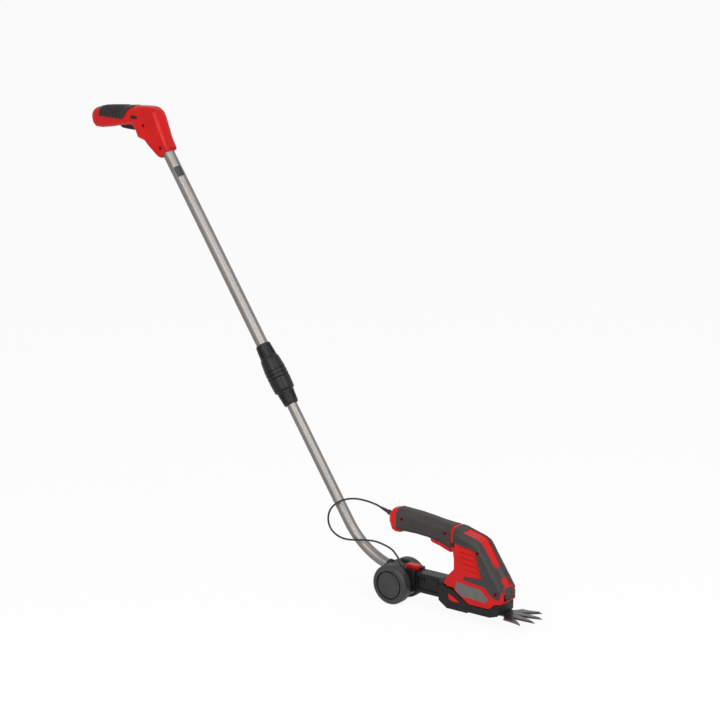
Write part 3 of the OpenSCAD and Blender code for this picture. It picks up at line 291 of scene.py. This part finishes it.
# acetal gear: ivory, smooth and a little waxy
ivoryAcetal = surfaceMaterial(
    "moulded_ivory_acetal",
    {
        "dark": "#D3CEBF", "light": "#DFDACB", "grain": 0.8, "cloud": 12, "rough": (0.32, 0.42),
        "relief": 0.08, "depth": 0.03, "sockets": {"IOR": 1.48},
    },
)
# heat-shrunk film round the battery cell
cellFilm = surfaceMaterial(
    "shrunk_green_film",
    {
        "dark": "#2C6A58", "light": "#357564", "grain": 1.5, "cloud": 15, "rough": (0.2, 0.3),
        "relief": 0.06, "depth": 0.03, "sockets": {"IOR": 1.55},
    },
)
# solder mask on glass-epoxy board
boardMask = surfaceMaterial(
    "green_solder_mask",
    {
        "dark": "#1A5429", "light": "#216232", "grain": 0.5, "cloud": 10, "rough": (0.25, 0.38),
        "relief": 0.1, "depth": 0.03, "sockets": {"IOR": 1.55},
    },
)
print("materials: %d" % len(bpy.data.materials))


# link cable: leaves the gland on the hub, sweeps behind the tube and comes round to the plug
linkCable = {
    "diameter": 3.4,
    "rounds": 5,
    "steps": 12,
    "route": [
        (4, -9, 76), (1, -9, 80), (-10, -10, 91), (-26, -13, 98), (-45, -15, 101), (-66, -16, 99),
        (-87, -16, 95), (-109, -16, 93), (-127, -16, 97), (-140, -16, 107), (-145, -16, 121),
        (-142, -16, 137), (-131, -16, 151), (-112, -14, 163), (-91, -10, 168), (-72, -5, 167),
        (-53, 0, 162.5), (-41, 0, 159),
    ],
}


# Catmull-Rom line through the points
def smoothRoute(points, steps):
    ends = [points[0], *points, points[-1]]
    line = []
    for a, b, c, d in zip(ends, ends[1:], ends[2:], ends[3:]):
        for step in range(steps):
            t = step / steps
            bend = (2 * a - 5 * b + 4 * c - d) * t**2
            twist = (3 * b - a - 3 * c + d) * t**3
            line.append(0.5 * (2 * b + (c - a) * t + bend + twist))
    return [*line, points[-1]]


cableLine = smoothRoute([Vector(p) * mm for p in linkCable["route"]], linkCable["steps"])
cableCurve = bpy.data.curves.new("link_cable_sheath", "CURVE")
cableCurve.dimensions = "3D"
cableCurve.bevel_depth = linkCable["diameter"] / 2 * mm
cableCurve.bevel_resolution = linkCable["rounds"]
cableCurve.use_fill_caps = True
cableSpline = cableCurve.splines.new("POLY")
cableSpline.points.add(len(cableLine) - 1)
for point, at in zip(cableSpline.points, cableLine):
    point.co = (*at, 1.0)
cable = bpy.data.objects.new("link_cable_sheath", cableCurve)
scene.collection.objects.link(cable)
cable.data.materials.append(pvcSheath)
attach(cable, "chassis")
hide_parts("link_cable")


def selectOnly(piece):
    bpy.ops.object.select_all(action="DESELECT")
    piece.select_set(True)
    bpy.context.view_layer.objects.active = piece


def addModifier(piece, kind, **settings):
    modifier = piece.modifiers.new(kind.lower(), kind)
    for name, value in settings.items():
        setattr(modifier, name, value)
    selectOnly(piece)
    bpy.ops.object.modifier_apply(modifier=modifier.name)


# mm, rounds and degrees that every finished copy shares
finishing = {"weld": 0.004, "rounds": 2, "edgeAngle": 35}


# a finished copy of a solid: merged, its flat faces joined, its edges broken, its curves shaded smooth
def finishNode(nodeName, look):
    source = nodes[nodeName]
    piece = source.copy()
    piece.data = source.data.copy()
    for key in list(piece.keys()):
        del piece[key]
    piece.name = nodeName + "_finished"
    piece.parent = None
    scene.collection.objects.link(piece)
    selectOnly(piece)
    bpy.ops.mesh.customdata_custom_splitnormals_clear()
    bpy.ops.object.mode_set(mode="EDIT")
    bpy.ops.mesh.select_all(action="SELECT")
    bpy.ops.mesh.remove_doubles(threshold=finishing["weld"] * mm)
    if look.get("flat", 0):
        bpy.ops.mesh.dissolve_limited(angle_limit=math.radians(look["flat"]))
    bpy.ops.object.mode_set(mode="OBJECT")
    if look.get("edge", 0):
        addModifier(
            piece,
            "BEVEL",
            width=look["edge"] * mm,
            segments=look.get("rounds", finishing["rounds"]),
            limit_method="ANGLE",
            angle_limit=math.radians(finishing["edgeAngle"]),
            use_clamp_overlap=True,
        )
    selectOnly(piece)
    bpy.ops.object.shade_smooth_by_angle(angle=math.radians(look["smooth"]))
    addModifier(piece, "WEIGHTED_NORMAL", keep_sharp=True)
    piece.data.materials.clear()
    piece.data.materials.append(look["material"])
    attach(piece, source["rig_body"])
    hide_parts(nodeName)
    return piece


poleTubes = {"material": satinAluminium, "smooth": 40}
twistLock = {"material": blackNylon, "edge": 0.35, "smooth": 40}
handleShell = {"material": redAbs, "smooth": 28}
handleSaddle = {"material": saddleRubber, "smooth": 30}
lockButtons = {"material": blackNylon, "edge": 0.5, "flat": 1, "smooth": 40}
trolleyShell = {"material": blackNylon, "edge": 0.7, "flat": 1, "smooth": 40}
roadWheels = {"material": wheelPlastic, "edge": 0.5, "smooth": 40}
redButtons = {"material": redAbs, "edge": 0.8, "flat": 1, "rounds": 3, "smooth": 40}
blackTriggers = {"material": blackNylon, "edge": 0.8, "flat": 1, "rounds": 3, "smooth": 40}
cableFittings = {"material": pvcSheath, "edge": 0.4, "smooth": 40}
shearsShell = {"material": redAbs, "smooth": 28}
shearsPads = {"material": softRubber, "smooth": 30}
louvres = {"material": redAbs, "edge": 0.4, "flat": 1, "smooth": 40}
frontWindow = {"material": tintedAcrylic, "edge": 0.3, "flat": 1, "smooth": 40}
lowerBody = {"material": blackNylon, "edge": 0.7, "flat": 1, "smooth": 40}
blades = {"material": groundSteel, "edge": 0.3, "flat": 1, "smooth": 30}
finishes = [
    (poleTubes, ["lower_tube", "upper_tube"]),
    (twistLock, ["clamp_body", "clamp_nut"]),
    (handleShell, ["handle_left", "handle_right"]),
    (handleSaddle, ["handle_pad"]),
    (lockButtons, ["handle_lock", "lock_button"]),
    (blackTriggers, ["handle_trigger"]),
    (trolleyShell, ["trolley_left", "trolley_right"]),
    (roadWheels, ["wheel_left", "wheel_right", "wheel_cap_left", "wheel_cap_right"]),
    (redButtons, ["release_button", "trigger", "blade_button_left", "blade_button_right"]),
    (cableFittings, ["cable_gland", "link_plug"]),
    (shearsShell, ["casing_left", "casing_right", "rear_cap"]),
    (shearsPads, ["grip_pad_left", "grip_pad_right", "side_pad_left", "side_pad_right", "nose_pad"]),
    (louvres, ["vent_left", "vent_right"]),
    (frontWindow, ["window"]),
    (lowerBody, ["base", "base_plate"]),
    (blades, ["lower_blade", "upper_blade"]),
]
for look, names in finishes:
    for nodeName in names:
        finishNode(nodeName, look)

# pieces inside keep their solids and only get their material
innerLooks = {
    "clamp_collet": greyAbs, "pole_lead": pvcSheath, "socket": blackNylon, "handle_switch": greyAbs,
    "switch": greyAbs, "battery": cellFilm, "circuit_board": boardMask, "motor": zincSteel,
    "motor_pinion": turnedBrass, "gear_plate": zincSteel, "drive_gear": ivoryAcetal, "axle": zincSteel,
    "axle_clips": zincSteel, "handle_trigger_pin": zincSteel, "handle_trigger_spring": zincSteel,
    "handle_screws": blackenedSteel, "release_spring": zincSteel, "trolley_screws": blackenedSteel,
    "trigger_pin": zincSteel, "trigger_spring": zincSteel, "blade_pin": zincSteel,
    "casing_screws": blackenedSteel,
}
for nodeName, material in innerLooks.items():
    nodes[nodeName].data.materials.clear()
    nodes[nodeName].data.materials.append(material)
print("inner pieces: %d" % len(innerLooks))


modelledSmooth = 35


# what every modelled piece gets last: its place in its mesh, a finish, a name and a body
def placePiece(piece, name, material, body):
    selectOnly(piece)
    bpy.ops.object.transform_apply(location=True, rotation=True, scale=True)
    bpy.ops.object.shade_smooth_by_angle(angle=math.radians(modelledSmooth))
    piece.name = name
    piece.data.materials.clear()
    piece.data.materials.append(material)
    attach(piece, body)


# keeps the part of the open mesh that lies inside an anticlockwise side-view outline
def cutToOutline(outline):
    for (ax, az), (bx, bz) in zip(outline, [*outline[1:], outline[0]]):
        bpy.ops.mesh.select_all(action="SELECT")
        bpy.ops.mesh.bisect(
            plane_co=(ax * mm, 0, az * mm),
            plane_no=Vector((bz - az, 0, ax - bx)).normalized(),
            clear_outer=True,
        )


# plain label film low on the right side of the shears
sideLabel = {
    "outline": [(131.5, 52.3), (144, 43.5), (191.8, 42.4), (197.2, 48.7), (181.9, 62.6), (133.5, 67.2)],
    "blank": 100.0,
    "thick": 0.25,
    "corner": 2.0,
    "rounds": 4,
}
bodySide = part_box("casing_right")[0].y
middleX = sum(x for x, z in sideLabel["outline"]) / len(sideLabel["outline"])
middleZ = sum(z for x, z in sideLabel["outline"]) / len(sideLabel["outline"])
bpy.ops.object.select_all(action="DESELECT")
bpy.ops.mesh.primitive_plane_add(
    size=sideLabel["blank"] * mm,
    location=(middleX * mm, bodySide, middleZ * mm),
    rotation=(math.pi / 2, 0, 0),
)
label = bpy.context.object
bpy.ops.object.transform_apply(location=True, rotation=True, scale=True)
bpy.ops.object.mode_set(mode="EDIT")
cutToOutline(sideLabel["outline"])
bpy.ops.mesh.select_all(action="SELECT")
bpy.ops.mesh.bevel(offset=sideLabel["corner"] * mm, segments=sideLabel["rounds"], affect="VERTICES")
bpy.ops.object.mode_set(mode="OBJECT")
addModifier(label, "SOLIDIFY", thickness=sideLabel["thick"] * mm, offset=1.0)
placePiece(label, "side_label", labelFilm, "chassis")

# plain black film patch on the front of the upper tube, below the handle
tubePatch = {
    "aboveClamp": 471.4,
    "length": 20.0,
    "arc": 70.0,
    "turn": 34.0,
    "facets": 144,
    "lift": 0.02,
    "thick": 0.2,
}
poleAxis = Vector(joints["telescope"]["axis"])
clampPlace = Vector(joints["clamp_twist"]["pos_m"])
tubeRadius = (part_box("upper_tube")[1].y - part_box("upper_tube")[0].y) / 2
bpy.ops.object.select_all(action="DESELECT")
bpy.ops.mesh.primitive_cylinder_add(
    vertices=tubePatch["facets"],
    radius=tubeRadius + tubePatch["lift"] * mm,
    depth=tubePatch["length"] * mm,
    end_fill_type="NOTHING",
    location=clampPlace + poleAxis * tubePatch["aboveClamp"] * mm,
    rotation=(0, math.radians(-poleTilt), 0),
)
patch = bpy.context.object
forward = Vector((poleAxis.z, 0, -poleAxis.x))
bpy.ops.object.mode_set(mode="EDIT")
for end in (-1, 1):
    edge = math.radians(tubePatch["turn"] + end * tubePatch["arc"] / 2)
    outward = -forward * math.sin(edge) - Vector((0, math.cos(edge), 0))
    bpy.ops.mesh.select_all(action="SELECT")
    bpy.ops.mesh.bisect(plane_co=clampPlace, plane_no=outward * end, clear_outer=True)
bpy.ops.object.mode_set(mode="OBJECT")
addModifier(patch, "SOLIDIFY", thickness=tubePatch["thick"] * mm, offset=1.0)
placePiece(patch, "tube_patch", pvcSheath, "upper_pole")

# shallow moulded ribs high on both sides of the handle, above the neck
handleRibs = {
    "spans": [(-561, -537), (-561, -539), (-572, -542), (-572, -546), (-572, -556)],
    "low": 788.4,
    "pitch": 6.3,
    "tall": 1.4,
    "rise": 0.45,
    "edge": 0.35,
    "rounds": 3,
}
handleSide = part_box("handle_left")[1].y
ribs = []
for side in (-1, 1):
    for i, (rear, front) in enumerate(handleRibs["spans"]):
        bpy.ops.object.select_all(action="DESELECT")
        bpy.ops.mesh.primitive_cube_add(
            size=1.0,
            location=(
                (rear + front) / 2 * mm,
                side * handleSide,
                (handleRibs["low"] + handleRibs["pitch"] * i) * mm,
            ),
            scale=((front - rear) * mm, 2 * handleRibs["rise"] * mm, handleRibs["tall"] * mm),
        )
        rib = bpy.context.object
        bpy.ops.object.transform_apply(location=True, rotation=True, scale=True)
        addModifier(rib, "BEVEL", width=handleRibs["edge"] * mm, segments=handleRibs["rounds"])
        ribs.append(rib)
bpy.ops.object.select_all(action="DESELECT")
for rib in ribs:
    rib.select_set(True)
bpy.context.view_layer.objects.active = ribs[0]
bpy.ops.object.join()
placePiece(ribs[0], "handle_side_ribs", redAbs, "upper_pole")
print("modelled pieces: label, tube patch, handle ribs")



# 1 for rays that see the surface from the camera, in a reflection or through a clear piece
def seenRays(tree):
    rays = addNode(tree, "ShaderNodeLightPath").outputs
    mirrorRay = addNode(
        tree,
        "ShaderNodeMath",
        {0: rays["Is Glossy Ray"], 1: rays["Is Transmission Ray"]},
        operation="MAXIMUM",
    ).outputs[0]
    return addNode(
        tree, "ShaderNodeMath", {0: rays["Is Camera Ray"], 1: mirrorRay}, operation="MAXIMUM"
    ).outputs[0]


# white studio: the floor and the background show white, and the lamps stay at a plain level
studio = {"floor": "#F4F4F4", "floorSize": 400.0, "skyLight": 0.42, "floorShow": 0.93}
plainWhite = (1, 1, 1, 1)
bpy.ops.object.select_all(action="DESELECT")
bpy.ops.mesh.primitive_plane_add(size=studio["floorSize"], location=(0, 0, 0))
floor = bpy.context.object
floor.name = "studio_floor"
floorPaint = bpy.data.materials.new("matt_white_floor")
floorPaint.use_nodes = True
tree = floorPaint.node_tree
tree.nodes.clear()
showing = addNode(
    tree, "ShaderNodeMath", {0: seenRays(tree), 1: studio["floorShow"]}, operation="MULTIPLY"
).outputs[0]
matt = addNode(tree, "ShaderNodeBsdfDiffuse", {"Color": hexColour(studio["floor"])}).outputs[0]
white = addNode(tree, "ShaderNodeEmission", {"Color": plainWhite, "Strength": 1.0}).outputs[0]
floorMix = addNode(tree, "ShaderNodeMixShader", {0: showing, 1: matt, 2: white}).outputs[0]
addNode(tree, "ShaderNodeOutputMaterial", {"Surface": floorMix})
floor.data.materials.append(floorPaint)

world = bpy.data.worlds.new("white_studio")
scene.world = world
world.use_nodes = True
tree = world.node_tree
tree.nodes.clear()
strength = addNode(
    tree,
    "ShaderNodeMapRange",
    {"Value": seenRays(tree), "To Min": studio["skyLight"], "To Max": 1.0},
).outputs["Result"]
sky = addNode(tree, "ShaderNodeBackground", {"Color": plainWhite, "Strength": strength}).outputs[0]
addNode(tree, "ShaderNodeOutputWorld", {"Surface": sky})

# soft boxes: one high in front of the blades, one to the left of the camera
softBoxes = [
    {"name": "front_soft_box", "place": (2.2, -0.6, 2.4), "size": 1.6, "power": 48},
    {"name": "side_soft_box", "place": (0.6, -2.6, 1.8), "size": 1.8, "power": 52},
]
lampTarget = Vector((-0.2, 0, 0.3))
for box in softBoxes:
    bpy.ops.object.light_add(type="AREA", location=box["place"])
    lamp = bpy.context.object
    lamp.name = box["name"]
    lamp.data.size = box["size"]
    lamp.data.energy = box["power"]
    lamp.rotation_euler = (lampTarget - lamp.location).to_track_quat("-Z", "Y").to_euler()
scene.view_settings.view_transform = "Standard"
print("studio: %d lamps" % len(softBoxes))
